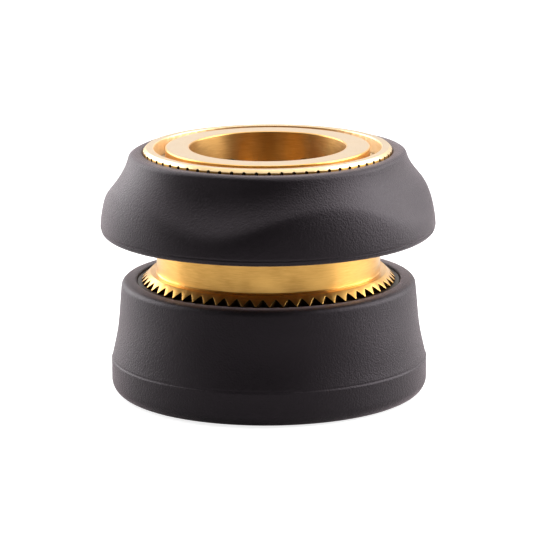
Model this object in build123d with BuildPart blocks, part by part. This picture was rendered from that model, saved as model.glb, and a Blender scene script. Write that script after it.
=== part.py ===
from build123d import *
import os
from math import cos, radians, sin, sqrt

# A garden hose quick connector, standing on its hose end with the plug mouth up. Pulling the outer
# sleeve down frees six balls that lock the plug. Millimetres, +Z up; the origin is on the axis, at
# the foot of the lower grip. Radii end in _r, thicknesses and lengths in _t, _h or _l.

# Clearances
running_gap = 0.08      # sliding brass on brass, on the radius
loose_gap = 0.05        # a piece dropped into its recess or groove
grip_gap = 0.05         # rubber grip over the tips of its knurl

# Sleeve travel and the stack of heights that it needs
sleeve_travel = 3.2
release_gap = 1.3       # left between skirt and hose socket when the sleeve is right down
skirt_overlap = 0.4     # of the sleeve's skirt over the neck, at rest
lip_t = 0.8             # rubber lip under the hose socket
ball_r = 2.15
land_h = 0.6            # ring inside the sleeve that holds the balls in
lock_cover = 0.1        # of that land past the ball centres
ball_headroom = 0.4     # between the balls and the snap ring
ring_t = 0.9            # snap ring
ring_cover = 2.2        # from the snap ring up to the mouth face
sleeve_drop = 0.05      # sleeve top below the mouth face
spring_wire_r = 0.55
spring_wire_sides = 12
spring_turns = 2.0
spring_slack = 0.2      # left between the turns when the sleeve is right down

# Barrel radii
mouth_r = 11.0          # clears the plug's collar
collar_step = 1.4       # from the mouth in to the bore that guides the plug's nose
stop_ledge = 1.1        # from the guide bore in to the waterway
spring_side_gap = 0.19  # between the spring and the walls of its chamber
spigot_wall = 4.4
spigot_h = 2.4
foot_step = 0.2         # small step turned at the foot of the neck
edge_break = 0.2        # chamfer on turned edges

# Bore of the barrel, from the spigot up
water_l = 2.6
lower_guide_l = 2.0
guide_l = 3.0
lead_in_l = 1.0
seal_r = 1.2            # O-ring section
seal_squeeze = 0.3      # how far the O-ring stands into the guide bore
seal_room = 0.2         # groove wider than the O-ring

# Balls and their holes
ball_count = 6
ball_first_deg = 0.0    # direction of the first ball from +X
ball_reach = 1.02       # how far a locked ball stands into the mouth
land_ball_gap = 0.2     # between a locked ball and the land
hole_gap = 0.05
seat_depth = 0.5        # from the ball centre in to where its hole narrows
seat_end_r = 1.95       # hole radius at the bore, smaller than the ball

# Sleeve
counterbore_gap = 0.15  # counterbore round the snap ring
ring_stop = 0.5         # width of the step that meets the snap ring
sleeve_wall = 1.1       # above the step, to the inner edge of the chamfer
sleeve_root_step = 0.1  # from there out to the root of the knurl
sleeve_tooth = 0.3
sleeve_teeth = 64
sleeve_groove = 0.38    # width of the grooves between the teeth, as a share of their pitch
ring_reach = 1.45       # snap ring past the barrel's head
ring_bite = 0.65        # depth of the snap ring's groove
ring_gap_w = 3.0        # opening of the snap ring

# Sleeve grip
grip_rim_drop = 0.6     # rim below the sleeve's top
grip_foot_rise = 1.0    # foot of the grip above the sleeve's skirt
grip_rim_inset = 0.54   # rim in from where the band's arc would reach it
grip_belly_w = 6.19     # widest part, from the sleeve's tips
belly_arc_r = 20.0
belly_rise = 0.1        # from the foot to the widest ring
grip_foot_round = 1.0
grip_rim_round = 0.6
scoop_drop = 5.8        # mean depth below the rim at which the scoop meets the band
scoop_hollow = 0.082    # how fast the scoop steepens, per millimetre down
scoop_wave = 0.225      # how fast the waves grow below the rim
waves = 4
scoop_crest_deg = 23.0

# Hose socket and what it holds
ledge_w = 1.4           # flat ring on the socket round the neck
socket_root_step = 0.3  # from the ledge's edge out to the root of the knurl
socket_tooth = 0.6
socket_teeth = 60
chamfer_drop = 1.08     # height of the chamfer over the knurl
flange_w = 0.45         # plain flange under the chamfer, past the tips
flange_t = 0.6
socket_foot_break = 0.6
thread_r = 13.6         # root of the 3/4 inch garden hose thread
thread_l = 8.6
thread_lead = 0.6
recess_undercut = 0.2   # recess for the hose washer, beyond the thread's root
washer_t = 2.9
washer_room = 0.2
washer_hole_r = 8.0
web_h = 1.4
web_hole_ease = 0.5     # hole in the web, wider than the barrel's waterway
gasket_t = 1.0
gasket_inset = 0.3      # gasket inside the spigot's edge
gasket_hole_ease = 0.5

# Socket grip
socket_rim_drop = 1.15  # rim below the socket's top
socket_rim_w = 2.66     # width of the rim from the socket's tips
socket_band_w = 4.22    # foot band, from the socket's tips
socket_part_z = 5.0     # height of the mould's parting line
part_step = 0.08        # step at the parting line
socket_foot_round = 2.0
socket_rim_round = 0.8
lip_inset = 1.6         # lip's edge outside the thread
swell_crest_deg = 50.0
swell_sections = (      # share of the way down, share of the taper, height of the waves
    (0, 0, 0),
    (0.37, 0.29, 0.08),
    (0.7, 0.61, 0.13),
    (1, 1, 0),
)

# Heights that follow from the stack
socket_z = lip_t
thread_top = socket_z + thread_l
recess_top = thread_top + washer_t + washer_room
web_top = recess_top + web_h
spigot_z = web_top + gasket_t
socket_top = spigot_z + spigot_h
shoulder_z = socket_top + release_gap + sleeve_travel + skirt_overlap
skirt_z = shoulder_z - skirt_overlap
spring_space = 2 * spring_wire_r * (spring_turns + 1) + sleeve_travel + spring_slack
land_z = shoulder_z + spring_space
ball_z = land_z + land_h - lock_cover
ring_z = ball_z + ball_r + ball_headroom
mouth_z = ring_z + ring_t + ring_cover
sleeve_top = mouth_z - sleeve_drop

# Radii that follow
guide_r = mouth_r - collar_step
water_r = guide_r - stop_ledge
spigot_r = water_r + spigot_wall
ball_path_r = mouth_r - ball_reach + ball_r
land_r = ball_path_r + ball_r + land_ball_gap
head_r = land_r - running_gap
neck_r = head_r + 2 * (spring_wire_r + spring_side_gap) - running_gap
chamber_r = neck_r + running_gap
ring_r = head_r + ring_reach
counterbore_r = ring_r + counterbore_gap
pocket_r = counterbore_r - ring_stop
sleeve_edge_r = counterbore_r + sleeve_wall
sleeve_root_r = sleeve_edge_r + sleeve_root_step
sleeve_tip_r = sleeve_root_r + sleeve_tooth
seal_groove_r = guide_r - seal_squeeze + 2 * seal_r + loose_gap
ledge_r = neck_r + ledge_w
socket_root_r = ledge_r + socket_root_step
knurl_tip_r = socket_root_r + socket_tooth
flange_r = knurl_tip_r + flange_w
recess_r = thread_r + recess_undercut
web_hole_r = water_r + web_hole_ease


def knurl_corners(tooth, teeth):
    """Corners of a knurled ring. A tooth is its (share of the pitch, radius) corners, repeated from +X."""
    pitch = radians(360.0 / teeth)
    places = [(r, (number + share) * pitch) for number in range(teeth) for share, r in tooth]
    return [(r * cos(angle), r * sin(angle)) for r, angle in places]


def waved_ring(mean_r, wave, crest_deg, points=24):
    """Points of a closed curve whose radius is mean_r + wave * cos(waves * (angle - crest))."""
    angles = [360.0 * k / points for k in range(points)]
    radii = [mean_r + wave * cos(radians(waves * (a - crest_deg))) for a in angles]
    return [(r * cos(radians(a)), r * sin(radians(a))) for a, r in zip(angles, radii)]


os.makedirs("parts", exist_ok=True)

# Barrel: turned from bar, with the plug mouth, a groove for the O-ring and the spigot
water_top = spigot_z + water_l
groove_z = water_top + lower_guide_l
groove_top = groove_z + 2 * seal_r + seal_room
guide_top = groove_top + guide_l
mouth_foot = guide_top + lead_in_l
ring_seat_r = head_r - ring_bite
ring_seat_z = ring_z - loose_gap
ring_seat_top = ring_z + ring_t + loose_gap
foot_r = neck_r + foot_step

with BuildPart() as barrel:
    with BuildSketch(Plane.XZ):
        with BuildLine():
            Polyline(
                (water_r, spigot_z),
                (spigot_r, spigot_z),
                (spigot_r, socket_top),
                (foot_r, socket_top),
                (foot_r, socket_top + foot_step),
                (neck_r, socket_top + 2 * foot_step),
                (neck_r, shoulder_z - edge_break),
                (neck_r - edge_break, shoulder_z),
                (head_r, shoulder_z),
                (head_r, ring_seat_z),
                (ring_seat_r, ring_seat_z),
                (ring_seat_r, ring_seat_top),
                (head_r, ring_seat_top),
                (head_r, mouth_z - edge_break),
                (head_r - edge_break, mouth_z),
                (mouth_r + edge_break, mouth_z),
                (mouth_r, mouth_z - edge_break),
                (mouth_r, mouth_foot),
                (guide_r, guide_top),
                (guide_r, groove_top),
                (seal_groove_r, groove_top),
                (seal_groove_r, groove_z),
                (guide_r, groove_z),
                (guide_r, water_top),
                (water_r, water_top),
                close=True,
            )
        make_face()
    revolve(axis=Axis.Z)

# Ball hole: a straight bore from outside, narrowing to a seat just short of the mouth
hole_r = ball_r + hole_gap
seat_narrow_r = mouth_r - 1.5 * (mouth_r - sqrt(mouth_r**2 - hole_r**2))

with BuildPart() as ball_hole:
    with BuildSketch(Plane.XZ):
        with BuildLine():
            Polyline(
                (seat_narrow_r, 0),
                (seat_narrow_r, seat_end_r),
                (mouth_r, seat_end_r),
                (ball_path_r - seat_depth, hole_r),
                (head_r + edge_break, hole_r),
                (head_r + edge_break, 0),
                close=True,
            )
        make_face()
    revolve(axis=Axis.X)

with BuildPart(mode=Mode.PRIVATE) as barrel_holes:
    with Locations((0, 0, ball_z)):
        with PolarLocations(0, ball_count, start_angle=ball_first_deg):
            add(ball_hole.part)

with BuildPart() as drilled_barrel:
    add(barrel.part)
    add(barrel_holes.part, mode=Mode.SUBTRACT)
drilled_barrel.part.label = "barrel"
export_step(drilled_barrel.part, "parts/barrel.step")

# Locking balls, at rest in the plug's groove
for number in range(ball_count):
    angle = radians(ball_first_deg + 360.0 * number / ball_count)
    with BuildPart() as locking_ball:
        with Locations((ball_path_r * cos(angle), ball_path_r * sin(angle), ball_z)):
            Sphere(ball_r)
    name = f"locking_ball_{number + 1}"
    locking_ball.part.label = name
    export_step(locking_ball.part, f"parts/{name}.step")

# Snap ring: a flat open ring sprung into the barrel's groove, which stops the sleeve
with BuildPart() as snap_ring:
    with BuildSketch(Plane.XY.offset(ring_z)):
        Circle(ring_r)
        Circle(ring_seat_r + loose_gap, mode=Mode.SUBTRACT)
        with Locations((0, ring_r)):
            Rectangle(ring_gap_w, 2 * (ring_reach + ring_bite) + loose_gap, mode=Mode.SUBTRACT)
    extrude(amount=ring_t)
snap_ring.part.label = "snap_ring"
export_step(snap_ring.part, "parts/snap_ring.step")

# O-ring that seals on the plug's nose
with BuildPart() as nose_seal:
    with Locations((0, 0, (groove_z + groove_top) / 2)):
        Torus(guide_r - seal_squeeze + seal_r, seal_r)
nose_seal.part.label = "nose_seal"
export_step(nose_seal.part, "parts/nose_seal.step")

# Sleeve: turned, knurled outside; its land holds the balls in and carries the spring's top
land_top = land_z + land_h
ramp_top = land_top + pocket_r - land_r
sleeve_knurl = (
    (0, sleeve_root_r),
    (sleeve_groove / 2, sleeve_tip_r),
    (1 - sleeve_groove / 2, sleeve_tip_r),
)

with BuildPart() as sleeve:
    with BuildSketch(Plane.XY.offset(skirt_z)):
        with BuildLine():
            Polyline(*knurl_corners(sleeve_knurl, sleeve_teeth), close=True)
        make_face()
    extrude(amount=sleeve_top - skirt_z)
    with BuildSketch(Plane.XZ):
        with BuildLine():
            Polyline(
                (0, skirt_z),
                (chamber_r + edge_break, skirt_z),
                (chamber_r, skirt_z + edge_break),
                (chamber_r, land_z),
                (land_r, land_z),
                (land_r, land_top),
                (pocket_r, ramp_top),
                (pocket_r, ring_z),
                (counterbore_r, ring_z),
                (counterbore_r, sleeve_top - edge_break),
                (counterbore_r + edge_break, sleeve_top),
                (0, sleeve_top),
                close=True,
            )
        make_face()
        with BuildLine():
            Polyline(
                (sleeve_edge_r, sleeve_top),
                (sleeve_edge_r + sleeve_wall, sleeve_top),
                (sleeve_edge_r + sleeve_wall, sleeve_top - sleeve_wall),
                close=True,
            )
        make_face()
    revolve(axis=Axis.Z, mode=Mode.SUBTRACT)
sleeve.part.label = "sleeve"
export_step(sleeve.part, "parts/sleeve.step")

# Spring: an open coil between the barrel's shoulder and the sleeve's land. Its round wire has twelve flats,
# which are within 0.02 mm of round
spring_r = (head_r + chamber_r) / 2
coil_foot = shoulder_z + spring_wire_r + loose_gap
coil_rise = spring_space - 2 * (spring_wire_r + loose_gap)

with BuildPart() as spring:
    with BuildLine() as coil:
        coil_pitch = coil_rise / spring_turns
        Helix(coil_pitch, coil_rise, spring_r, center=(0, 0, coil_foot))
    with BuildSketch(Plane(origin=coil.line @ 0, z_dir=coil.line % 0)):
        RegularPolygon(spring_wire_r, spring_wire_sides)
    sweep(is_frenet=True)
spring.part.label = "spring"
export_step(spring.part, "parts/spring.step")

# Sleeve grip: moulded rubber, a bulged band below a scoop whose edge runs in four waves
grip_z = skirt_z + grip_foot_rise
grip_top = sleeve_top - grip_rim_drop
grip_h = grip_top - grip_z
grip_bore_r = sleeve_tip_r + grip_gap
belly_z = grip_z + belly_rise
belly_centre_r = sleeve_tip_r + grip_belly_w - belly_arc_r


def belly_r_at(z):
    """Radius of the bulged band at a height: an arc about its centre."""
    return belly_centre_r + sqrt(belly_arc_r**2 - (z - belly_z) ** 2)


grip_rim_r = belly_r_at(grip_top) - grip_rim_inset
scoop_reach = belly_r_at(grip_top - scoop_drop) - grip_rim_r
scoop_slope = scoop_reach / scoop_drop - scoop_hollow * scoop_drop

with BuildPart() as scoop_core:
    for share in (0, 1 / 3, 2 / 3, 1):
        drop = share * grip_h
        mean_r = grip_rim_r + scoop_slope * drop + scoop_hollow * drop**2
        with BuildSketch(Plane.XY.offset(grip_top - drop)):
            with BuildLine():
                Spline(*waved_ring(mean_r, scoop_wave * drop, scoop_crest_deg), periodic=True)
            make_face()
    loft()

with BuildPart() as sleeve_grip:
    with BuildSketch(Plane.XZ):
        with BuildLine():
            foot_out = (belly_r_at(grip_z), grip_z)
            band_end = (belly_r_at(grip_top - scoop_drop / 2), grip_top - scoop_drop / 2)
            middle_z = (grip_z + band_end[1]) / 2
            Line((0, grip_z), foot_out)
            ThreePointArc(foot_out, (belly_r_at(middle_z), middle_z), band_end)
            Line(band_end, (grip_rim_r, grip_top))
            Line((grip_rim_r, grip_top), (0, grip_top))
            Line((0, grip_top), (0, grip_z))
        make_face()
        outer_corners = vertices().filter_by(lambda corner: corner.X > 0)
        fillet(outer_corners.group_by(Axis.Z)[-1], radius=grip_rim_round)
        fillet(outer_corners.group_by(Axis.Z)[0], radius=grip_foot_round)
    revolve(axis=Axis.Z)
    add(scoop_core.part, mode=Mode.INTERSECT)
    with BuildSketch(Plane.XY.offset(grip_z)):
        Circle(grip_bore_r)
    extrude(amount=grip_h, mode=Mode.SUBTRACT)
sleeve_grip.part.label = "sleeve_grip"
export_step(sleeve_grip.part, "parts/sleeve_grip.step")

# Hose socket: turned and knurled, with a thin flange over the rubber, the bore of the hose thread
# below and the barrel's seat above
seat_r = spigot_r + loose_gap
flange_top = socket_top - chamfer_drop
socket_knurl = ((0, knurl_tip_r), (0.5, socket_root_r))

with BuildPart() as hose_socket:
    with BuildSketch(Plane.XY.offset(socket_z)):
        with BuildLine():
            Polyline(*knurl_corners(socket_knurl, socket_teeth), close=True)
        make_face()
    extrude(amount=socket_top - socket_z)
    with BuildSketch(Plane.XZ):
        with BuildLine():
            Polyline(
                (0, socket_z),
                (thread_r + thread_lead, socket_z),
                (thread_r, socket_z + thread_lead),
                (thread_r, thread_top),
                (recess_r, thread_top),
                (recess_r, recess_top),
                (web_hole_r, recess_top),
                (web_hole_r, web_top),
                (seat_r, web_top),
                (seat_r, socket_top),
                (0, socket_top),
                close=True,
            )
        make_face()
        with BuildLine():
            Polyline(
                (ledge_r, socket_top),
                (ledge_r + chamfer_drop, socket_top),
                (ledge_r + chamfer_drop, socket_top - chamfer_drop),
                close=True,
            )
        make_face()
        with BuildLine():
            Polyline(
                (knurl_tip_r - socket_foot_break, socket_z),
                (knurl_tip_r + socket_foot_break, socket_z),
                (knurl_tip_r + socket_foot_break, socket_z + 2 * socket_foot_break),
                close=True,
            )
        make_face()
    revolve(axis=Axis.Z, mode=Mode.SUBTRACT)
    with BuildSketch(Plane.XY.offset(flange_top)):
        Circle(flange_r)
        Circle(ledge_r, mode=Mode.SUBTRACT)
    extrude(amount=-flange_t)
hose_socket.part.label = "hose_socket"
export_step(hose_socket.part, "parts/hose_socket.step")

# Flat gasket between the barrel's spigot and the web
with BuildPart() as joint_gasket:
    with BuildSketch(Plane.XY.offset(web_top)):
        Circle(spigot_r - gasket_inset)
        Circle(web_hole_r + gasket_hole_ease, mode=Mode.SUBTRACT)
    extrude(amount=gasket_t)
joint_gasket.part.label = "joint_gasket"
export_step(joint_gasket.part, "parts/joint_gasket.step")

# Hose washer, pushed past the thread into its recess
with BuildPart() as hose_washer:
    with BuildSketch(Plane.XY.offset(recess_top)):
        Circle(recess_r - 2 * loose_gap)
        Circle(washer_hole_r, mode=Mode.SUBTRACT)
    extrude(amount=-washer_t)
hose_washer.part.label = "hose_washer"
export_step(hose_washer.part, "parts/hose_washer.step")

# Socket grip: moulded rubber with a lip under the socket, swelling in four waves to its foot band
socket_rim_z = socket_top - socket_rim_drop
socket_rim_r = knurl_tip_r + socket_rim_w
socket_band_r = knurl_tip_r + socket_band_w
taper_h = socket_rim_z - socket_part_z
taper_w = socket_band_r - part_step - socket_rim_r

with BuildPart() as swell_core:
    for share, spread, wave in swell_sections:
        with BuildSketch(Plane.XY.offset(socket_rim_z - share * taper_h)):
            with BuildLine():
                ring = waved_ring(socket_rim_r + spread * taper_w, wave, swell_crest_deg)
                Spline(*ring, periodic=True)
            make_face()
    loft()
    with BuildSketch():
        Circle(socket_band_r)
    extrude(amount=socket_part_z)

with BuildPart() as socket_grip:
    with BuildSketch(Plane.XZ):
        with BuildLine():
            Polyline(
                (0, 0),
                (socket_band_r, 0),
                (socket_band_r, socket_part_z),
                (socket_rim_r, socket_rim_z),
                (0, socket_rim_z),
                close=True,
            )
        make_face()
        outer_corners = vertices().filter_by(lambda corner: corner.X > 0)
        fillet(outer_corners.group_by(Axis.Z)[-1], radius=socket_rim_round)
        fillet(outer_corners.group_by(Axis.Z)[0], radius=socket_foot_round)
    revolve(axis=Axis.Z)
    add(swell_core.part, mode=Mode.INTERSECT)
    with BuildSketch(Plane.XY.offset(lip_t)):
        Circle(knurl_tip_r + grip_gap)
    extrude(amount=socket_top, mode=Mode.SUBTRACT)
    with BuildSketch(Plane.XY.offset(flange_top - flange_t - grip_gap)):
        Circle(flange_r + grip_gap)
    extrude(amount=socket_top, mode=Mode.SUBTRACT)
    with BuildSketch():
        Circle(thread_r + lip_inset)
    extrude(amount=lip_t, mode=Mode.SUBTRACT)
socket_grip.part.label = "socket_grip"
export_step(socket_grip.part, "parts/socket_grip.step")
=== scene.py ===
from math import cos, pi, radians, sin, tau

import bpy
import numpy as np
from mathutils import Matrix, Vector


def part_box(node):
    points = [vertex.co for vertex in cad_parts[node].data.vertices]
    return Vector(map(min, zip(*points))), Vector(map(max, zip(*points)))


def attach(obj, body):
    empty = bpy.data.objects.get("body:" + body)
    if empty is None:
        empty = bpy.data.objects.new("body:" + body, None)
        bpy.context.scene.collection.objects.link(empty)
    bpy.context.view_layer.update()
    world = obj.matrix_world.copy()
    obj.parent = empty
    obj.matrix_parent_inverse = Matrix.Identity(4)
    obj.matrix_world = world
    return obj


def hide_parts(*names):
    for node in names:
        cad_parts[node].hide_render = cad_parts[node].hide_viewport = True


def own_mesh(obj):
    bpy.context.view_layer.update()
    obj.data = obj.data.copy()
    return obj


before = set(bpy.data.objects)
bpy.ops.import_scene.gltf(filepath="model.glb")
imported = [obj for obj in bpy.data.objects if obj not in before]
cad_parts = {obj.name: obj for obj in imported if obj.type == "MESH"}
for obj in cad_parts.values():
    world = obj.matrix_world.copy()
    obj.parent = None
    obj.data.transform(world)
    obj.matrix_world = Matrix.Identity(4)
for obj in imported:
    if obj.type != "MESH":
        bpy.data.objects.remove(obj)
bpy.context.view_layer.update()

# A brass garden hose quick connector with a ball-lock sleeve and two rubber grips, stood on its hose end.
# Sections follow it as it is put together: hose socket, hose thread, washer and gasket, socket grip,
# barrel, nose seal, locking balls, snap ring, spring, sleeve, sleeve grip, then floor, light and camera.
# Lengths are in metres, written as millimetres times mm.
mm = 0.001

# Hose socket
# Turned from brass bar, bored for the hose thread, and knurled outside with 60 V teeth that key the rubber.
# A thin flange closes the rubber's top, and above it a 45 degree chamfer cuts the teeth to arches.


def grid_mesh(name, points, close_rows=True, cap_ends=False):
    """A mesh over a grid of points (rows, columns, 3). Four neighbours share a face, and the last column
    joins the first. The rows either close in the same way, or end in open rings, or in rings with a cap."""
    rows, columns = points.shape[:2]
    row = np.arange(rows if close_rows else rows - 1)[:, None]
    column = np.arange(columns)[None, :]
    row_after = (row + 1) % rows
    column_after = (column + 1) % columns
    corners = (
        row * columns + column,
        row * columns + column_after,
        row_after * columns + column_after,
        row_after * columns + column,
    )
    faces = np.stack(corners, axis=-1).reshape(-1, 4)
    if cap_ends:
        ring = np.arange(columns)
        faces = [*faces, ring[::-1], (rows - 1) * columns + ring]
    mesh = bpy.data.meshes.new(name)
    mesh.from_pydata(points.reshape(-1, 3), [], faces)
    mesh.shade_smooth()
    piece = bpy.data.objects.new(name, mesh)
    bpy.context.collection.objects.link(piece)
    return piece


corner_steps = 4


def rounded(corners):
    """A closed outline of (radius, height) with rounded corners. Each corner P, given with its rounding c,
    becomes (1-s)^2 A + 2s(1-s) P + s^2 B for s from 0 to 1, with A and B on its two sides, c away."""
    table = np.array(corners, float)
    point = table[:, :2]
    rounding = table[:, 2:]
    back = np.roll(point, 1, axis=0) - point
    ahead = np.roll(point, -1, axis=0) - point
    start = point + rounding * back / np.linalg.norm(back, axis=1, keepdims=True)
    end = point + rounding * ahead / np.linalg.norm(ahead, axis=1, keepdims=True)
    s = np.linspace(0, 1, corner_steps)[None, :, None]
    curve = (1 - s) ** 2 * start[:, None] + 2 * s * (1 - s) * point[:, None] + s**2 * end[:, None]
    return curve.reshape(-1, 2)


flat_face_weight = 90


def weigh_normals(piece):
    """Keeps flat faces flat in the light and leaves the shading to the rounded edges between them."""
    weights = piece.modifiers.new("weighted normals", "WEIGHTED_NORMAL")
    weights.weight = flat_face_weight
    return piece


def knurled(name, foot_z, top_z, edge_r, root_r, tip_r, teeth, land, first, inner):
    """A turned ring with V teeth outside and a 45 degree chamfer over their upper ends. Round the axis
    the tooth height is ((1 + sqrt(t^2 + e^2) - sqrt((1-t)^2 + e^2)) / 2)^h, with t from 0 at a root to 1
    at the land, e the softness of the edges and h the hollow of the flanks. The land is a share of the
    pitch, and first is the direction of the first root. The chamfer is the cone where the radius past
    edge_r equals the depth below top_z, so it meets the teeth at top_z - (tooth radius - edge_r). inner is
    the rest of the outline, from the top edge down the bore to the foot, the same all round."""
    flank = np.array([0, 0.06, 0.16, 0.5, 0.84, 0.94])
    rise = np.concatenate([flank, [1, 1], flank[:0:-1]])
    flank_share = (1 - land) / 2
    up = flank * flank_share
    down = 1 - flank[:0:-1] * flank_share
    place = np.concatenate([up, [flank_share, 1 - flank_share], down])
    softness = 0.07
    hollow = 1.4
    height = (1 + np.sqrt(rise**2 + softness**2) - np.sqrt((1 - rise) ** 2 + softness**2)) / 2
    tooth_r = np.tile(root_r + (tip_r - root_r) * height**hollow, teeth)
    angle = first + (np.arange(teeth)[:, None] + place).reshape(-1) * tau / teeth
    edge = 0.04 * mm
    meet_z = top_z - (tooth_r - edge_r)
    s = np.linspace(0, 1, corner_steps)[:, None]
    level = np.ones_like(angle)

    def corner(before, at, after):
        """The rounded corner (1-s)^2 A + 2s(1-s) P + s^2 B, for each column."""
        return (1 - s) ** 2 * before + 2 * s * (1 - s) * at + s**2 * after

    rows_r = [
        corner(tooth_r - 2 * edge, tooth_r, tooth_r),
        corner(tooth_r, tooth_r, tooth_r - edge),
        corner((edge_r + edge) * level, edge_r * level, (edge_r - edge) * level),
        inner[:, :1] * level,
    ]
    rows_z = [
        corner(foot_z * level, foot_z * level, (foot_z + 2 * edge) * level),
        corner(meet_z - edge, meet_z, meet_z + edge),
        corner((top_z - edge) * level, top_z * level, top_z * level),
        inner[:, 1:] * level,
    ]
    r = np.concatenate(rows_r)
    z = np.concatenate(rows_z)
    return grid_mesh(name, np.stack([r * np.cos(angle), r * np.sin(angle), z], axis=-1))


socket_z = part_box("hose_socket")[0][2]
socket_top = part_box("hose_socket")[1][2]
ledge_r = 16.7 * mm
socket_root_r = 17.1 * mm
socket_tip_r = 17.95 * mm
socket_teeth = 60
socket_land = 0.08
socket_first = radians(3.3)
flange_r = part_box("hose_socket")[1][0]
flange_t = 0.6 * mm
chamfer_drop = 1.42 * mm
washer_z, washer_top = (corner[2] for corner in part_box("hose_washer"))
gasket_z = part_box("joint_gasket")[0][2]
spigot_seat_r = 12.95 * mm
web_r = 9.0 * mm
recess_r = 13.8 * mm
recess_foot = washer_z - 0.2 * mm
thread_root_r = 13.6 * mm
thread_entry = 0.6 * mm

socket_outline = rounded(
    [
        (ledge_r, socket_z, 0.05 * mm),
        (ledge_r, socket_top, 0.05 * mm),
        (spigot_seat_r, socket_top, 0.1 * mm),
        (spigot_seat_r, gasket_z, 0.05 * mm),
        (web_r, gasket_z, 0.1 * mm),
        (web_r, washer_top, 0.1 * mm),
        (recess_r, washer_top, 0.05 * mm),
        (recess_r, recess_foot, 0.05 * mm),
        (thread_root_r, recess_foot, 0.05 * mm),
        (thread_root_r, socket_z + thread_entry, 0.1 * mm),
        (thread_root_r + thread_entry, socket_z, 0.1 * mm),
    ]
)
# The outline's first two corners are the outer ones, which the knurl replaces.
hose_socket = knurled(
    "hose_socket_brass",
    socket_z,
    socket_top,
    ledge_r,
    socket_root_r,
    socket_tip_r,
    socket_teeth,
    socket_land,
    socket_first,
    socket_outline[2 * corner_steps :],
)
weigh_normals(hose_socket)


turned_columns = 288


def turned(name, outline):
    """A solid turned about the Z axis: the outline's point (r, z) becomes (r cos a, r sin a, z)."""
    angle = np.linspace(0, tau, turned_columns, endpoint=False)
    r = outline[:, :1]
    z = outline[:, 1:] + 0 * angle
    return grid_mesh(name, np.stack([r * np.cos(angle), r * np.sin(angle), z], axis=-1))


flange_top = socket_top - chamfer_drop
flange_z = flange_top - flange_t
socket_flange = turned(
    "hose_socket_flange",
    rounded(
        [
            (flange_r, flange_z, 0.05 * mm),
            (flange_r, flange_top, 0.08 * mm),
            (ledge_r, flange_top, 0.05 * mm),
            (ledge_r, flange_z, 0.05 * mm),
        ]
    ),
)
weigh_normals(socket_flange)


def linear(hex_colour):
    """An sRGB hex colour as the linear colour that the shaders take."""
    channels = np.array([int(hex_colour[k : k + 2], 16) for k in (1, 3, 5)]) / 255
    values = np.where(channels <= 0.04045, channels / 12.92, ((channels + 0.055) / 1.055) ** 2.4)
    return (*values, 1.0)


def add_node(tree, kind, links=(), **settings):
    """Adds a node to a node tree. links maps an input to a value or to the output that feeds it."""
    node = tree.nodes.new(kind)
    for key, value in settings.items():
        setattr(node, key, value)
    for key, value in dict(links).items():
        if isinstance(value, bpy.types.NodeSocket):
            tree.links.new(value, node.inputs[key])
        else:
            node.inputs[key].default_value = value
    return node


def new_material(name, **shader):
    """A material with one Principled shader and these values on its own sockets."""
    material = bpy.data.materials.new(name)
    material.use_nodes = True
    principled = material.node_tree.nodes["Principled BSDF"]
    for key, value in shader.items():
        principled.inputs[key.replace("_", " ")].default_value = value
    return material, principled


# The real tool marks are about 0.05 mm apart; 0.15 mm is as fine as the render shows.
mark_pitch = 0.15 * mm
streak_l = 1.6 * mm
patch_w = 4 * mm
radius_feed = 2.1
mark_contrast = 0.75
gloss_spread = 0.04


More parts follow.
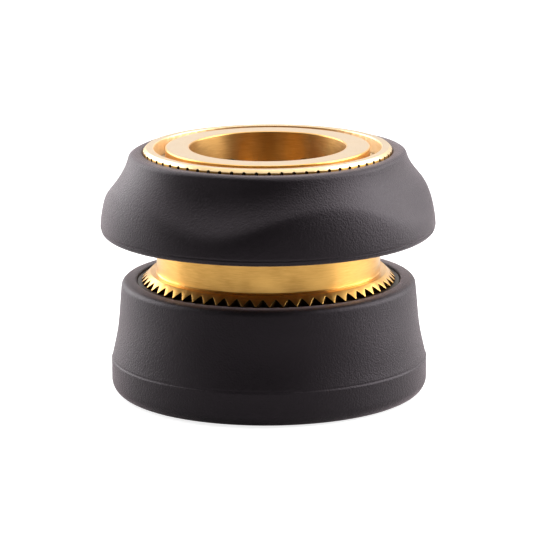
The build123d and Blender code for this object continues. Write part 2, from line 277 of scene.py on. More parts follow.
def turned_brass(name, bright, deep, roughness, mark_depth):
    """Brass off the lathe. The tool's marks are 4D noise: fine along height and radius, through W, and
    as long as a streak the other way, so they run round the axis on every face. The radius counts
    radius_feed times as much as the height, or a 45 degree cone would have none. They move the colour
    between bright and deep, more in some patches than in others, and they stand mark_depth high."""
    material, principled = new_material(name, Metallic=1.0, Anisotropic=0.75, Anisotropic_Rotation=0.25)
    tree = material.node_tree
    place = add_node(tree, "ShaderNodeTexCoord").outputs["Object"]
    axes = add_node(tree, "ShaderNodeSeparateXYZ", {0: place})
    across = add_node(tree, "ShaderNodeCombineXYZ", {0: axes.outputs[0], 1: axes.outputs[1]})
    radius = add_node(tree, "ShaderNodeVectorMath", {0: across.outputs[0]}, operation="LENGTH")
    feed = add_node(
        tree,
        "ShaderNodeMath",
        {0: radius.outputs["Value"], 1: radius_feed, 2: axes.outputs[2]},
        operation="MULTIPLY_ADD",
    )
    feed_in_marks = add_node(
        tree,
        "ShaderNodeMath",
        {0: feed.outputs[0], 1: streak_l / mark_pitch},
        operation="MULTIPLY",
    )
    marks = add_node(
        tree,
        "ShaderNodeTexNoise",
        {
            "Vector": place,
            "W": feed_in_marks.outputs[0],
            "Scale": 1 / streak_l,
            "Detail": 2.0,
            "Roughness": 0.6,
        },
        noise_dimensions="4D",
    )
    patches = add_node(tree, "ShaderNodeTexNoise", {"Vector": place, "Scale": 1 / patch_w, "Detail": 2.0})
    contrast = add_node(
        tree,
        "ShaderNodeMapRange",
        {0: marks.outputs[0], 1: 0.3, 2: 0.7, 3: 0.0, 4: mark_contrast},
    )
    share = add_node(
        tree,
        "ShaderNodeMath",
        {0: contrast.outputs[0], 1: patches.outputs[0]},
        operation="MULTIPLY",
    )
    colour = add_node(
        tree,
        "ShaderNodeMix",
        {0: share.outputs[0], 6: linear(bright), 7: linear(deep)},
        data_type="RGBA",
    )
    gloss = add_node(
        tree,
        "ShaderNodeMapRange",
        {0: patches.outputs[0], 1: 0.3, 2: 0.7, 3: roughness - gloss_spread, 4: roughness + gloss_spread},
    )
    bump = add_node(
        tree,
        "ShaderNodeBump",
        {"Height": marks.outputs[0], "Strength": 1.0, "Distance": mark_depth},
    )
    minus_y = add_node(tree, "ShaderNodeMath", {0: axes.outputs[1], 1: -1.0}, operation="MULTIPLY")
    round_axis = add_node(tree, "ShaderNodeCombineXYZ", {0: minus_y.outputs[0], 1: axes.outputs[0]})
    tangent = add_node(tree, "ShaderNodeVectorMath", {0: round_axis.outputs[0]}, operation="NORMALIZE")
    tree.links.new(colour.outputs[2], principled.inputs["Base Color"])
    tree.links.new(gloss.outputs[0], principled.inputs["Roughness"])
    tree.links.new(bump.outputs[0], principled.inputs["Normal"])
    tree.links.new(tangent.outputs[0], principled.inputs["Tangent"])
    return material


# Turned brass: bright but not polished, a warm yellow whose tool marks spread each reflection across them.
brass = turned_brass("turned brass", "#F0BC69", "#C98B3A", roughness=0.32, mark_depth=0.003 * mm)


def paint_faces(piece, material, choose):
    """Gives a further material to the faces that choose(centres, normals) picks."""
    faces = piece.data.polygons
    centre = np.empty(3 * len(faces))
    normal = np.empty(3 * len(faces))
    faces.foreach_get("center", centre)
    faces.foreach_get("normal", normal)
    index = np.empty(len(faces), np.int32)
    faces.foreach_get("material_index", index)
    index[choose(centre.reshape(-1, 3), normal.reshape(-1, 3))] = len(piece.data.materials)
    piece.data.materials.append(material)
    faces.foreach_set("material_index", index)


def paint_groove_shade(piece, tip_r):
    """Paints shade into a knurl: its flanks and roots, the upright outer faces that lie inside the tips, get
    the dark brown brass.
    """

    def in_groove(centre, normal):
        r = np.hypot(centre[:, 0], centre[:, 1])
        inside_tips = r < tip_r - 0.02 * mm
        upright = np.abs(normal[:, 2]) < 0.3
        outer = (centre[:, 0] * normal[:, 0] + centre[:, 1] * normal[:, 1]) / r > 0.1
        return inside_tips & upright & outer

    paint_faces(piece, groove_shade_brass, in_groove)


# Painted shade for the grooves of a knurl, which are rolled, not turned: brass coloured dark brown for the
# shade that falls between the teeth.
groove_shade_brass = turned_brass(
    "knurl brass painted with shade", "#38260F", "#20140A", roughness=0.5, mark_depth=0.001 * mm
)
hose_socket.data.materials.append(brass)
# Painted shade: the flange, which lies in shade under the teeth, is coloured dark brown all over, and so are
# the knurl's grooves.
socket_flange.data.materials.append(groove_shade_brass)
paint_groove_shade(hose_socket, socket_tip_r)
for piece in (hose_socket, socket_flange):
    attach(piece, "barrel_body")
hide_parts("hose_socket")

# Hose thread
# The female 3/4 inch garden hose thread, 11.5 turns to the inch, cut in the socket's bore. Its ridge runs
# right-handed from the foot to the washer's recess and fades out at both ends.
thread_pitch = 25.4 * mm / 11.5
thread_depth = 1.2 * mm
thread_turns = 3.2
thread_start = socket_z + 0.9 * mm
thread_rows = 420
thread_fade = 0.6
ridge_edge_sink = 0.02 * mm
ridge_back_sink = 0.12 * mm
ridge_across = np.linspace(-1, 1, 9)
ridge_half_w = 0.46 * thread_pitch
crest_half_w = 0.09 * thread_pitch


def thread_ridge():
    """A ridge along a helix: at the angle a its middle is at height start + pitch * a / 2 pi. Across it,
    x from -1 to 1, the radius falls by depth * min(1, (1-|x|) * half width / flank width) * fade(a),
    where fade rises from 0 to 1 over the angle thread_fade from each end. Its back is sunk in the brass."""
    a = np.linspace(0, tau * thread_turns, thread_rows)[:, None]
    fade = np.clip(np.minimum(a, a[-1] - a) / thread_fade, 0, 1)
    flank_w = ridge_half_w - crest_half_w
    lift = np.clip((1 - np.abs(ridge_across)) * ridge_half_w / flank_w, 0, 1)
    top_r = thread_root_r + ridge_edge_sink - thread_depth * lift * fade
    top_z = thread_start + thread_pitch * a / tau + ridge_across * ridge_half_w
    base_r = np.full_like(top_r, thread_root_r + ridge_back_sink)
    r = np.concatenate([top_r, base_r[:, ::-1]], axis=1)
    z = np.concatenate([top_z, top_z[:, ::-1]], axis=1)
    return np.stack([r * np.cos(a), r * np.sin(a), z], axis=-1)


hose_thread = grid_mesh("hose_thread", thread_ridge(), close_rows=False, cap_ends=True)
hose_thread.data.materials.append(brass)
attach(hose_thread, "barrel_body")

# Hose washer and joint gasket
# Flat black rubber rings: the washer seals the hose's end in its recess, and the gasket seals the barrel's
# spigot on the socket's web. Both are punched or moulded, with soft edges.


def flat_ring(name, node, hole_r, rounding):
    """A flat ring of the CAD node's outer size, with rounded edges."""
    low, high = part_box(node)
    outline = rounded(
        [
            (high[0], low[2], rounding),
            (high[0], high[2], rounding),
            (hole_r, high[2], rounding),
            (hole_r, low[2], rounding),
        ]
    )
    return weigh_normals(turned(name, outline))


def moulded_rubber(name, colour, roughness, grain, grain_depth):
    """Moulded rubber: nearly black and matte, with the fine grain of a spark-eroded mould and a thin waxy
    bloom, which greys it where it turns away from the eye."""
    material, principled = new_material(
        name,
        Base_Color=linear(colour),
        Roughness=roughness,
        Specular_IOR_Level=0.34,
        Specular_Tint=linear("#FBE9F6"),
        Sheen_Weight=0.38,
        Sheen_Roughness=0.35,
        Sheen_Tint=linear("#FBE2EA"),
    )
    tree = material.node_tree
    place = add_node(tree, "ShaderNodeTexCoord").outputs["Object"]
    grains = add_node(
        tree,
        "ShaderNodeTexNoise",
        {"Vector": place, "Scale": 1 / grain, "Detail": 3.0, "Roughness": 0.6},
    )
    bump = add_node(
        tree,
        "ShaderNodeBump",
        {"Height": grains.outputs[0], "Strength": 1.0, "Distance": grain_depth},
    )
    tree.links.new(bump.outputs[0], principled.inputs["Normal"])
    return material


# Nitrile rubber: moulded or punched smooth, a soft even black.
seal_rubber = moulded_rubber(
    "nitrile rubber", "#161616", roughness=0.45, grain=0.3 * mm, grain_depth=0.005 * mm
)
hose_washer = flat_ring("hose_washer_rubber", "hose_washer", hole_r=8.0 * mm, rounding=0.25 * mm)
joint_gasket = flat_ring("joint_gasket_rubber", "joint_gasket", hole_r=9.5 * mm, rounding=0.1 * mm)
for seal, node_name in ((hose_washer, "hose_washer"), (joint_gasket, "joint_gasket")):
    seal.data.materials.append(seal_rubber)
    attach(seal, "barrel_body")
    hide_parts(node_name)

# Socket grip
# Black rubber moulded over the socket's knurl, with a lip turned in under the brass. It tapers from a foot
# band to the rim and swells in four soft waves; the mould's parting line runs round above the band.
grip_columns = 360
wave_angle = np.linspace(0, tau, grip_columns, endpoint=False)
wave_count = 4
socket_rim_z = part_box("socket_grip")[1][2]
socket_band_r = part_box("socket_grip")[1][0]
socket_grip_rows = 130
socket_rim_r = 20.78 * mm
socket_rim_round = 0.8 * mm
socket_foot_round = 2.0 * mm
socket_lip_r = 15.2 * mm
socket_swell = 0.15 * mm
swell_crest = radians(50.0)
socket_part_z = 5.0 * mm
part_step = 0.07 * mm
part_soft = 0.05 * mm
flash_h = 0.03 * mm
flash_w = 0.07 * mm
part_groove = 0.09 * mm
part_groove_w = 0.1 * mm
part_offset = 0.1 * mm
# The rubber's inner faces stay this far off the brass, so no two faces lie in the same place.
skin = 0.05 * mm


def socket_grip_points():
    """The lower grip as rows of radius over height. Outside, the radius at height z is
    rim + (band - rim) * S(d) + swell * B(d) * cos(4 (a - crest)), with d from 0 at the rim to 1 at the
    parting line, S(d) = 0.75 d + 0.25 d^3 and B(d) = sin^2(pi d^1.38). The parting line is a step, with a
    bead of flash exp(-(h/w)^2) below it and a groove of the same form above. At the rim and the foot the
    radius is pulled in by c (1 - sqrt(1 - u^2)), a round of radius c, with u from 0 to 1 across it."""
    height = np.linspace(0, socket_rim_z, socket_grip_rows)[:, None]
    fall = (socket_rim_z - height) / (socket_rim_z - socket_part_z)
    d = np.clip(fall, 0, 1)
    swell = np.sin(pi * d**1.38) ** 2 * np.cos(wave_count * (wave_angle - swell_crest))
    side_r = socket_rim_r + (socket_band_r - socket_rim_r) * (0.75 * d + 0.25 * d**3) + socket_swell * swell
    above_line = height - socket_part_z
    below = 1 / (1 + np.exp(above_line / part_soft))
    side_r = side_r - part_step * (1 - below)
    side_r = side_r + flash_h * np.exp(-(((above_line + part_offset) / flash_w) ** 2))
    side_r = side_r - part_groove * np.exp(-(((above_line - part_offset) / part_groove_w) ** 2))
    rim = np.clip(1 - (socket_rim_z - height) / socket_rim_round, 0, 1)
    foot = np.clip(1 - height / socket_foot_round, 0, 1)
    side_r = side_r - socket_rim_round * (1 - np.sqrt(1 - rim**2))
    side_r = side_r - socket_foot_round * (1 - np.sqrt(1 - foot**2))
    bore_r = socket_tip_r + skin
    flange_seat_r = flange_r + skin
    flange_seat_z = flange_z - skin
    outline = rounded(
        [
            (socket_lip_r, 0.0, 0.2 * mm),
            (socket_rim_r, 0.0, 0.2 * mm),
            (socket_rim_r, socket_rim_z, 0.2 * mm),
            (flange_seat_r, socket_rim_z, 0.3 * mm),
            (flange_seat_r, flange_seat_z, 0.05 * mm),
            (bore_r, flange_seat_z, 0.05 * mm),
            (bore_r, socket_z, 0.1 * mm),
            (socket_lip_r, socket_z, 0.2 * mm),
        ]
    )
    inside = np.concatenate([outline[3 * corner_steps :], outline[:corner_steps]])
    level = np.ones((1, grip_columns))
    r = np.concatenate([side_r, inside[:, :1] * level])
    z = np.concatenate([height * level, inside[:, 1:] * level])
    return np.stack([r * np.cos(wave_angle), r * np.sin(wave_angle), z], axis=-1)


socket_grip = grid_mesh("socket_grip_rubber", socket_grip_points())
# Moulded grip rubber: deep black, matte and finely grained for a wet hand, so its sides turn a soft grey.
# The real grain is about 0.1 mm wide; 0.26 mm is as fine as the render shows.
grip_rubber = moulded_rubber(
    "moulded grip rubber", "#060406", roughness=0.48, grain=0.26 * mm, grain_depth=0.08 * mm
)
socket_grip.data.materials.append(grip_rubber)
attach(socket_grip, "barrel_body")
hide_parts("socket_grip")

# Barrel
# Turned from brass bar in one piece: the plug mouth with its bright end face, the head that the sleeve
# slides on, the neck and the spigot in the hose socket. Six holes for the locking balls are drilled across.
spigot_z, mouth_z = (corner[2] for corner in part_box("barrel"))
spigot_r = 12.9 * mm
neck_r = 15.8 * mm
neck_flare = 0.12 * mm
neck_flare_z = socket_top + 0.06 * mm
neck_flare_top = socket_top + 0.18 * mm
shoulder_z = 22.2 * mm
head_r = 14.4 * mm
snap_z, snap_top = (corner[2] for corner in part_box("snap_ring"))
snap_play = 0.05 * mm
snap_groove_r = head_r - 0.65 * mm
break_edge = 0.2 * mm
mouth_r = 11.0 * mm
mouth_foot_z = 26.1 * mm
guide_r = 9.6 * mm
guide_top_z = 25.1 * mm
seal_z, seal_top = (corner[2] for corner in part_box("nose_seal"))
seal_play = 0.1 * mm
seal_groove_r = 11.75 * mm
waterway_r = 8.5 * mm
waterway_top = 17.5 * mm

barrel = turned(
    "barrel_brass",
    rounded(
        [
            (waterway_r, spigot_z, 0.1 * mm),
            (spigot_r, spigot_z, 0.1 * mm),
            (spigot_r, socket_top, 0.05 * mm),
            (neck_r + neck_flare, socket_top, 0.02 * mm),
            (neck_r + neck_flare, neck_flare_z, 0.03 * mm),
            (neck_r, neck_flare_top, 0.04 * mm),
            (neck_r, shoulder_z, break_edge),
            (head_r, shoulder_z, 0.1 * mm),
            (head_r, snap_z - snap_play, 0.04 * mm),
            (snap_groove_r, snap_z - snap_play, 0.04 * mm),
            (snap_groove_r, snap_top + snap_play, 0.04 * mm),
            (head_r, snap_top + snap_play, 0.04 * mm),
            (head_r, mouth_z, break_edge),
            (mouth_r, mouth_z, break_edge),
            (mouth_r, mouth_foot_z, 0.2 * mm),
            (guide_r, guide_top_z, 0.2 * mm),
            (guide_r, seal_top + seal_play, 0.08 * mm),
            (seal_groove_r, seal_top + seal_play, 0.08 * mm),
            (seal_groove_r, seal_z - seal_play, 0.08 * mm),
            (guide_r, seal_z - seal_play, 0.08 * mm),
            (guide_r, waterway_top, 0.1 * mm),
            (waterway_r, waterway_top, 0.1 * mm),
        ]
    ),
)

ball_count = 6
ball_z = (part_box("locking_ball_1")[0][2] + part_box("locking_ball_1")[1][2]) / 2
ball_path_r = (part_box("locking_ball_1")[0][0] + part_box("locking_ball_1")[1][0]) / 2
ball_r = (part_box("locking_ball_1")[1][2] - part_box("locking_ball_1")[0][2]) / 2
ball_hole_r = 2.2 * mm
ball_hole_end = 11.63 * mm
ball_lip_r = 1.95 * mm
drill_from = 10.3 * mm
drill_to = 14.8 * mm
drill_tip_r = 0.01 * mm
drill_columns = 48


def drill_points(direction):
    """The drill for one ball hole: wide outside, and from ball_hole_end inwards a cone to the narrow lip
    that keeps the ball from falling in. The ring of radius w at distance d along the direction a is at
    (d cos a - w cos b sin a, d sin a + w cos b cos a, ball height + w sin b) for b round the ring."""
    b = np.linspace(0, tau, drill_columns, endpoint=False)
    w = np.array([drill_tip_r, ball_lip_r, ball_lip_r, ball_hole_r, ball_hole_r, drill_tip_r])[:, None]
    d = np.array([drill_from, drill_from, mouth_r, ball_hole_end, drill_to, drill_to])[:, None]
    side = w * np.cos(b)
    x = d * cos(direction) - side * sin(direction)
    y = d * sin(direction) + side * cos(direction)
    return np.stack([x, y, ball_z + w * np.sin(b)], axis=-1)


weld_reach = 0.001 * mm


def merge_poles(piece):
    """Joins the points that fall on one place, such as a pole or a sliver's end, so the mesh is closed."""
    weld = piece.modifiers.new("weld", "WELD")
    weld.merge_threshold = weld_reach
    return piece


sharp_edge_angle = radians(35)
for number in range(ball_count):
    drill = grid_mesh("drill", drill_points(tau * number / ball_count), close_rows=False, cap_ends=True)
    cut = barrel.modifiers.new("ball hole", "BOOLEAN")
    cut.object = drill
    cut.solver = "EXACT"
    cut.operation = "DIFFERENCE"
    drilled = bpy.data.meshes.new_from_object(barrel.evaluated_get(bpy.context.evaluated_depsgraph_get()))
    barrel.modifiers.clear()
    barrel.data = drilled
    bpy.data.objects.remove(drill)
bpy.context.view_layer.objects.active = barrel
barrel.select_set(True)
bpy.ops.object.shade_smooth_by_angle(angle=sharp_edge_angle)
barrel.select_set(False)
weigh_normals(merge_poles(barrel)).modifiers["weighted normals"].keep_sharp = True
barrel.data.materials.clear()
barrel.data.materials.append(brass)

# Faced brass: the end face is cut last with a fine feed and left dull, so it is rougher than the sides. Its
# paler, creamier colour is a painted highlight, for the top light washing out the end faces.
faced_brass_with_painted_highlight = turned_brass("end-face brass painted pale as lit", "#CBB89E", "#BFA486", roughness=0.5, mark_depth=0.001 * mm)
faced_brass_with_painted_highlight.node_tree.nodes["Principled BSDF"].inputs["Anisotropic"].default_value = 0.0


def paint_end_highlight(piece, end_z):
    """Paints a highlight on the flat end face at this height: gives it the pale end-face brass."""

    def on_end(centre, normal):
        return (abs(centre[:, 2] - end_z) < 0.01 * mm) & (normal[:, 2] > 0.99)

    paint_faces(piece, faced_brass_with_painted_highlight, on_end)


def in_bore(centre, normal):
    """The faces of the plug mouth and of the bores below it."""
    return np.hypot(centre[:, 0], centre[:, 1]) < mouth_r + 0.1 * mm


# Reamed brass: the bore is cut dry to size and its wall is a little rougher than the turned outside. Its
# darker, browner colour is painted shade, for the shade down in the bore.
shaded_reamed_brass = turned_brass("bore brass painted with shade", "#D6A965", "#A87438", roughness=0.36, mark_depth=0.002 * mm)
paint_faces(barrel, shaded_reamed_brass, in_bore)
# Painted highlight: the barrel's end face is coloured pale cream.
paint_end_highlight(barrel, mouth_z)
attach(barrel, "barrel_body")
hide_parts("barrel")

# Nose seal
# A moulded O-ring of nitrile rubber in the groove of the barrel's bore. It stands a little into the bore, to
# seal on the plug's nose.
seal_r = (seal_top - seal_z) / 2
seal_mean_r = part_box("nose_seal")[1][0] - seal_r
seal_steps = 32
around = np.linspace(0, tau, seal_steps, endpoint=False)
seal_circle = np.stack(
    [seal_mean_r + seal_r * np.cos(around), (seal_z + seal_top) / 2 + seal_r * np.sin(around)], axis=-1
)
nose_seal = turned("nose_seal_rubber", seal_circle)
nose_seal.data.materials.append(seal_rubber)
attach(nose_seal, "barrel_body")
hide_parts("nose_seal")

# Locking balls
# Six steel balls, one in each hole, which the sleeve's land holds in the plug's groove. They are hardened,
# ground and polished.


def worked_steel(name, colour, roughness, spread, grain, mark_depth):
    """Bare steel. Noise as coarse as the grain moves its roughness up and down by the spread, and marks it
    mark_depth high."""
    material, principled = new_material(name, Base_Color=linear(colour), Metallic=1.0)
    tree = material.node_tree
    place = add_node(tree, "ShaderNodeTexCoord").outputs["Object"]
    marks = add_node(
        tree,
        "ShaderNodeTexNoise",
        {"Vector": place, "Scale": 1 / grain, "Detail": 3.0, "Roughness": 0.6},
    )
    gloss = add_node(
        tree,
        "ShaderNodeMapRange",
        {0: marks.outputs[0], 1: 0.3, 2: 0.7, 3: roughness - spread, 4: roughness + spread},
    )
    bump = add_node(
        tree,
        "ShaderNodeBump",
        {"Height": marks.outputs[0], "Strength": 1.0, "Distance": mark_depth},
    )
    tree.links.new(gloss.outputs[0], principled.inputs["Roughness"])
    tree.links.new(bump.outputs[0], principled.inputs["Normal"])
    return material


# Polished steel: ground and lapped nearly to a mirror, with a faint cloud where plugs have rubbed it.
ball_steel = worked_steel(
    "polished steel", "#C4C4C6", roughness=0.08, spread=0.03, grain=0.5 * mm, mark_depth=0.0005 * mm
)
ball_columns = 48
ball_rows = 33


def ball_points(centre):
    """A sphere: (r sin p cos a, r sin p sin a, r cos p) about its centre, p from pole to pole."""
    a = np.linspace(0, tau, ball_columns, endpoint=False)
    p = np.linspace(pi, 0, ball_rows)[:, None]
    unit = np.stack([np.sin(p) * np.cos(a), np.sin(p) * np.sin(a), np.cos(p) + 0 * a], axis=-1)
    return centre + ball_r * unit


for number in range(ball_count):
    direction = tau * number / ball_count
    centre = np.array([ball_path_r * cos(direction), ball_path_r * sin(direction), ball_z])
    name = f"locking_ball_{number + 1}"
    ball = merge_poles(grid_mesh(f"{name}_steel", ball_points(centre), close_rows=False))
    ball.data.materials.append(ball_steel)
    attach(ball, f"ball_{number + 1}")
    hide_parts(name)

# Snap ring
# A flat ring stamped from spring steel, with a gap at the back. It is sprung into the barrel's groove, where
# it stops the sleeve.
snap_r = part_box("snap_ring")[1][0]
snap_in_r = 13.8 * mm
snap_gap = 3.0 * mm
snap_rows = 200


def snap_points():
    """A rounded rectangle (r, z) carried round to (r cos a, r sin a, z), with a from one side of the gap to
    the other. A row at the rectangle's middle closes each end."""
    half_gap = snap_gap / 2 / snap_r
    a = np.linspace(pi / 2 + half_gap, pi / 2 + tau - half_gap, snap_rows)[:, None]
    outline = rounded(
        [
            (snap_r, snap_z, 0.1 * mm),
            (snap_r, snap_top, 0.1 * mm),
            (snap_in_r, snap_top, 0.1 * mm),
            (snap_in_r, snap_z, 0.1 * mm),
        ]
    )
    r = np.broadcast_to(outline[:, 0], (snap_rows, len(outline)))
    z = np.broadcast_to(outline[:, 1], (snap_rows, len(outline)))
    ring = np.stack([r * np.cos(a), r * np.sin(a), z], axis=-1)
    middle_r = (snap_r + snap_in_r) / 2
    middle_z = (snap_z + snap_top) / 2
    caps = []
    for end in (a[0, 0], a[-1, 0]):
        cap = np.array([middle_r * cos(end), middle_r * sin(end), middle_z])
        caps.append(np.broadcast_to(cap, (1, len(outline), 3)))
    return np.concatenate([caps[0], ring, caps[1]])[::-1]


# Spring steel: drawn, hardened and tempered, so it is a dull satin grey with the faint marks of the die.
# The real marks are about 0.05 mm apart and are drawn at 0.3 mm, so that they show.
spring_steel = worked_steel(
    "spring steel", "#8E8A84", roughness=0.42, spread=0.08, grain=0.3 * mm, mark_depth=0.003 * mm
)
snap_ring = merge_poles(grid_mesh("snap_ring_steel", snap_points(), close_rows=False))
snap_ring.data.materials.append(spring_steel)
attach(snap_ring, "barrel_body")
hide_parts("snap_ring")

# Spring
# Hard-drawn steel wire coiled in two open turns between the barrel's shoulder and the sleeve's land. On the
# real connector it closes up as the sleeve goes down; here it is one rigid coil that moves with the barrel.
spring_z, spring_top = (corner[2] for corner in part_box("spring"))
spring_turns = 2
wire_r = 0.55 * mm
coil_r = 15.14 * mm
coil_rows = 160
wire_columns = 24
land_z = 28.9 * mm


def coil_points():
    """A tube of radius w along a helix: (R + w cos b) round the axis at the angle a, and the height
    foot + rise * a / total + w sin b. Both ends are cut square."""
    a = np.linspace(0, tau * spring_turns, coil_rows)[:, None]
    b = np.linspace(0, tau, wire_columns, endpoint=False)
    r = coil_r + wire_r * np.cos(b) + 0 * a
    z = spring_z + wire_r + (spring_top - spring_z - 2 * wire_r) * a / a[-1] + wire_r * np.sin(b)
    return np.stack([r * np.cos(a), r * np.sin(a), z], axis=-1)[::-1]


spring = grid_mesh("spring_wire", coil_points(), close_rows=False, cap_ends=True)
spring.data.materials.append(spring_steel)
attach(spring, "barrel_body")
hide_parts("spring")
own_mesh(spring)

# Sleeve
# Turned from brass and knurled, it slides on the barrel's head and neck. Inside are the counterbore that
# meets the snap ring, the pocket that the balls move into, the land that holds them and the spring's room.
skirt_z, sleeve_top = (corner[2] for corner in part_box("sleeve"))
sleeve_edge_r = 17.1 * mm
sleeve_root_r = 17.36 * mm
sleeve_tip_r = 17.5 * mm
sleeve_teeth = 64
sleeve_land = 0.68
sleeve_first = radians(270.55)
counterbore_r = 16.0 * mm
pocket_r = 15.5 * mm
pocket_z = 30.52 * mm
land_top = 29.5 * mm
land_r = 14.48 * mm
chamber_r = 15.88 * mm
skirt_chamfer = 0.2 * mm
sleeve_outline = rounded(
    [
        (sleeve_edge_r, skirt_z, 0.05 * mm),
        (sleeve_edge_r, sleeve_top, 0.05 * mm),
        (counterbore_r, sleeve_top, 0.15 * mm),
        (counterbore_r, snap_z, 0.05 * mm),
        (pocket_r, snap_z, 0.1 * mm),
        (pocket_r, pocket_z, 0.1 * mm),
        (land_r, land_top, 0.05 * mm),
        (land_r, land_z, 0.1 * mm),
        (chamber_r, land_z, 0.1 * mm),
        (chamber_r, skirt_z + skirt_chamfer, 0.05 * mm),
        (chamber_r + skirt_chamfer, skirt_z, 0.05 * mm),
    ]
)
sleeve = knurled(
    "sleeve_brass",
    skirt_z,
    sleeve_top,
    sleeve_edge_r,
    sleeve_root_r,
    sleeve_tip_r,
    sleeve_teeth,
    sleeve_land,
    sleeve_first,
    sleeve_outline[2 * corner_steps :],
)
weigh_normals(sleeve)
sleeve.data.materials.append(brass)
# Painted shade: the sleeve's knurl grooves are coloured dark brown too.
paint_groove_shade(sleeve, sleeve_tip_r)
# Painted highlight: the sleeve's end face is coloured pale cream too.
paint_end_highlight(sleeve, sleeve_top)
# Bored brass: the counterbore and the chamfer were cut with the end face. Their pale colour is a painted
# highlight, as if they caught the light from above.
pale_lit_bored_brass = turned_brass("counterbore brass painted pale as lit", "#F2D5A6", "#DDB87E", roughness=0.4, mark_depth=0.001 * mm)


def by_the_end(centre, normal):
    """The sleeve's counterbore, and the chamfer that slopes to its end face."""
    bored = (np.hypot(centre[:, 0], centre[:, 1]) < counterbore_r + 0.1 * mm) & (centre[:, 2] > snap_z)
    sloping = (normal[:, 2] > 0.3) & (normal[:, 2] < 0.99)
    return bored | (sloping & (centre[:, 2] > mouth_z - 1.0 * mm))


# Painted highlight on the sleeve's counterbore and end chamfer.
paint_faces(sleeve, pale_lit_bored_brass, by_the_end)
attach(sleeve, "sleeve_body")
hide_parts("sleeve")

# Sleeve grip
# Black rubber moulded on the sleeve: a bulged band to pull on, and above it a scoop for the fingers whose
# edge runs round in four waves. A fine line where the mould parted circles just above its foot.
grip_z, grip_top = (corner[2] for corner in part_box("sleeve_grip"))
belly_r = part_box("sleeve_grip")[1][0]
belly_arc_r = 20.0 * mm
belly_z = grip_z + 0.1 * mm
sleeve_grip_rows = 150
rim_r = 19.56 * mm
grip_rim_round = 0.6 * mm
grip_foot_round = 1.0 * mm
scoop_slope = 0.096
scoop_hollow = 0.082 / mm
scoop_wave = 0.225
scoop_crest = radians(23.0)
crease_soft = 0.3 * mm
crease_spread = 4
part_line_z = grip_z + 1.0 * mm
part_line_step = 0.08 * mm
part_line_groove = 0.1 * mm
part_line_w = 0.12 * mm


def sleeve_grip_points():
    """The upper grip as rows of radius over height. Outside, the radius is the soft minimum of the band,
    an arc R about (belly - R, belly height), and the scoop, which at the depth d below the rim is
    rim + (slope + hollow d + wave cos 4(a - crest)) d. The soft minimum of p and q is
    (p + q - sqrt((p-q)^2 + e^2)) / 2, where e grows between the crests. The parting line is a step with a
    groove, and rim and foot are rounds."""
    height = np.linspace(grip_z, grip_top, sleeve_grip_rows)[:, None]
    depth = grip_top - height
    band = belly_r - belly_arc_r + np.sqrt(belly_arc_r**2 - (height - belly_z) ** 2) + 0 * wave_angle
    crest = np.cos(wave_count * (wave_angle - scoop_crest))
    scoop = rim_r + (scoop_slope + scoop_hollow * depth + scoop_wave * crest) * depth
    soft = crease_soft * (1 + crease_spread * ((1 - crest) / 2) ** 2)
    side_r = (band + scoop - np.sqrt((band - scoop) ** 2 + soft**2)) / 2
    foot = np.clip(1 - (height - grip_z) / grip_foot_round, 0, 1)
    rim = np.clip(1 - depth / grip_rim_round, 0, 1)
    side_r = side_r - grip_foot_round * (1 - np.sqrt(1 - foot**2))
    side_r = side_r - grip_rim_round * (1 - np.sqrt(1 - rim**2))
    above_line = height - part_line_z
    below = 1 / (1 + np.exp(above_line / part_soft))
    side_r = side_r - part_line_step * below
    side_r = side_r - part_line_groove * np.exp(-(((above_line + part_offset) / part_line_w) ** 2))
    bore_r = sleeve_tip_r + skin
    outline = rounded(
        [
            (belly_r, grip_z, 0.1 * mm),
            (belly_r, grip_top, 0.1 * mm),
            (bore_r, grip_top, 0.35 * mm),
            (bore_r, grip_z, 0.3 * mm),
        ]
    )
    inside = outline[2 * corner_steps :]
    level = np.ones((1, grip_columns))
    r = np.concatenate([side_r, inside[:, :1] * level])
    z = np.concatenate([height * level, inside[:, 1:] * level])
    return np.stack([r * np.cos(wave_angle), r * np.sin(wave_angle), z], axis=-1)


sleeve_grip = grid_mesh("sleeve_grip_rubber", sleeve_grip_points())
sleeve_grip.data.materials.append(grip_rubber)
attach(sleeve_grip, "sleeve_body")
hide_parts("sleeve_grip")

# Floor and backdrop
# A plain white table, a hair under the connector's foot. The camera sees it white, and it keeps the soft
# shadow under the connector.
floor_mesh = bpy.data.meshes.new("floor")
floor_half = 3.0
floor_z = -0.02 * mm
floor_corners = [(x * floor_half, y * floor_half, floor_z) for x, y in ((-1, -1), (1, -1), (1, 1), (-1, 1))]
floor_mesh.from_pydata(floor_corners, [], [(0, 1, 2, 3)])
floor = bpy.data.objects.new("floor", floor_mesh)
bpy.context.collection.objects.link(floor)
# White laminate, matte and even. Its own glow makes it a lit backdrop, white to the camera and faint in
# reflections.
glow_seen = 0.82
glow_reflected = 0.1
table_white, table_shader = new_material("white table", Base_Color=linear("#B8B8B8"), Roughness=0.9)
table_shader.inputs["Emission Color"].default_value = (1, 1, 1, 1)
table_tree = table_white.node_tree
seen = add_node(table_tree, "ShaderNodeLightPath")
seen_in_metal = add_node(
    table_tree,
    "ShaderNodeMath",
    {0: seen.outputs["Is Glossy Ray"], 1: seen.outputs["Is Transmission Ray"]},
    operation="ADD",
)
dim_glow = add_node(
    table_tree,
    "ShaderNodeMath",
    {0: seen_in_metal.outputs[0], 1: glow_reflected},
    operation="MULTIPLY",
)
glow = add_node(
    table_tree,
    "ShaderNodeMath",
    {0: seen.outputs["Is Camera Ray"], 1: glow_seen, 2: dim_glow.outputs[0]},
    operation="MULTIPLY_ADD",
)
table_tree.links.new(glow.outputs[0], table_shader.inputs["Emission Strength"])
floor_mesh.materials.append(table_white)

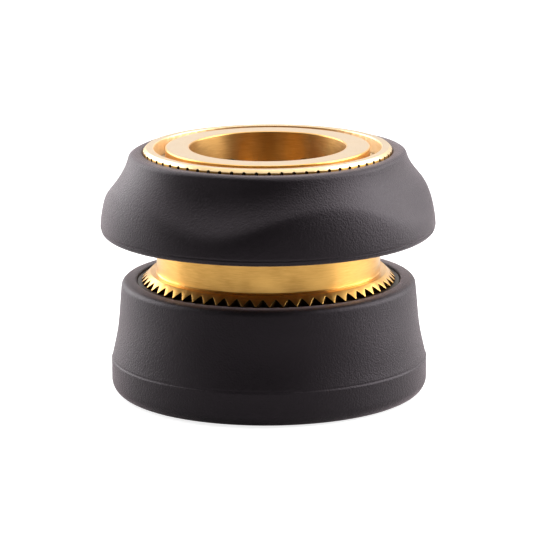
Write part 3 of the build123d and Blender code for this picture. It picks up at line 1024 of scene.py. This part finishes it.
# Studio light
# A white tent: bright cards at the left and right and overhead, and a darker opening round the camera,
# which is what gives the brass its bands.
world = bpy.data.worlds.new("tent")
bpy.context.scene.world = world
world.use_nodes = True
tent = world.node_tree
tent.nodes.clear()
opening_y = -0.65
wall_y = 0.3
wall_light = 1.15
direction = add_node(tent, "ShaderNodeTexCoord").outputs["Generated"]
path = add_node(tent, "ShaderNodeLightPath")
parts = add_node(tent, "ShaderNodeSeparateXYZ", {0: direction})
front = add_node(
    tent,
    "ShaderNodeMapRange",
    {0: parts.outputs[1], 1: opening_y, 2: wall_y, 3: 0.0, 4: wall_light},
    interpolation_type="SMOOTHSTEP",
)
level = add_node(
    tent,
    "ShaderNodeMix",
    {0: path.outputs["Is Camera Ray"], 2: front.outputs[0], 3: 1.0},
    data_type="FLOAT",
)
sky = add_node(tent, "ShaderNodeBackground", {"Color": (1, 1, 1, 1), "Strength": level.outputs[0]})
add_node(tent, "ShaderNodeOutputWorld", {"Surface": sky.outputs[0]})


def softbox(name, place, size, power):
    """A square area lamp that faces the middle of the connector."""
    lamp = bpy.data.lights.new(name, "AREA")
    lamp.size = size
    lamp.energy = power
    piece = bpy.data.objects.new(name, lamp)
    piece.location = place
    aim = Vector((0, 0, mouth_z / 2)) - Vector(place)
    piece.rotation_euler = aim.to_track_quat("-Z", "Y").to_euler()
    bpy.context.collection.objects.link(piece)
    return piece


softbox("left card", place=(-0.42, 0.3, 0.24), size=0.5, power=3.4)
softbox("right card", place=(0.5, 0.08, 0.3), size=0.6, power=6.1)
softbox("top card", place=(0.0, 0.05, 0.6), size=0.6, power=1.7)

# Camera
# A long lens at the photo's angle: a little over half a metre away and 12.7 degrees above the table.
photo_width = 533
lens_in_pixels = 3658.19
middle_pixel = (268.39, 260.17)
sensor_w = 36.0
elevation = radians(12.685)
distance = 0.517
target = Vector((0, 0, 18.612 * mm))
roll = 0.007

camera_data = bpy.data.cameras.new("camera")
camera_data.sensor_width = sensor_w
camera_data.lens = sensor_w * lens_in_pixels / photo_width
camera_data.shift_x = (photo_width / 2 - middle_pixel[0]) / photo_width
camera_data.shift_y = (middle_pixel[1] - photo_width / 2) / photo_width
camera = bpy.data.objects.new("camera", camera_data)
bpy.context.collection.objects.link(camera)
place = target + Vector((0, -cos(elevation) * distance, sin(elevation) * distance))
facing = (target - place).to_track_quat("-Z", "Y").to_matrix().to_4x4()
camera.matrix_world = Matrix.Translation(place) @ facing @ Matrix.Rotation(-roll, 4, "Z")
scene = bpy.context.scene
scene.camera = camera
scene.view_settings.view_transform = "Standard"

bpy.context.view_layer.update()
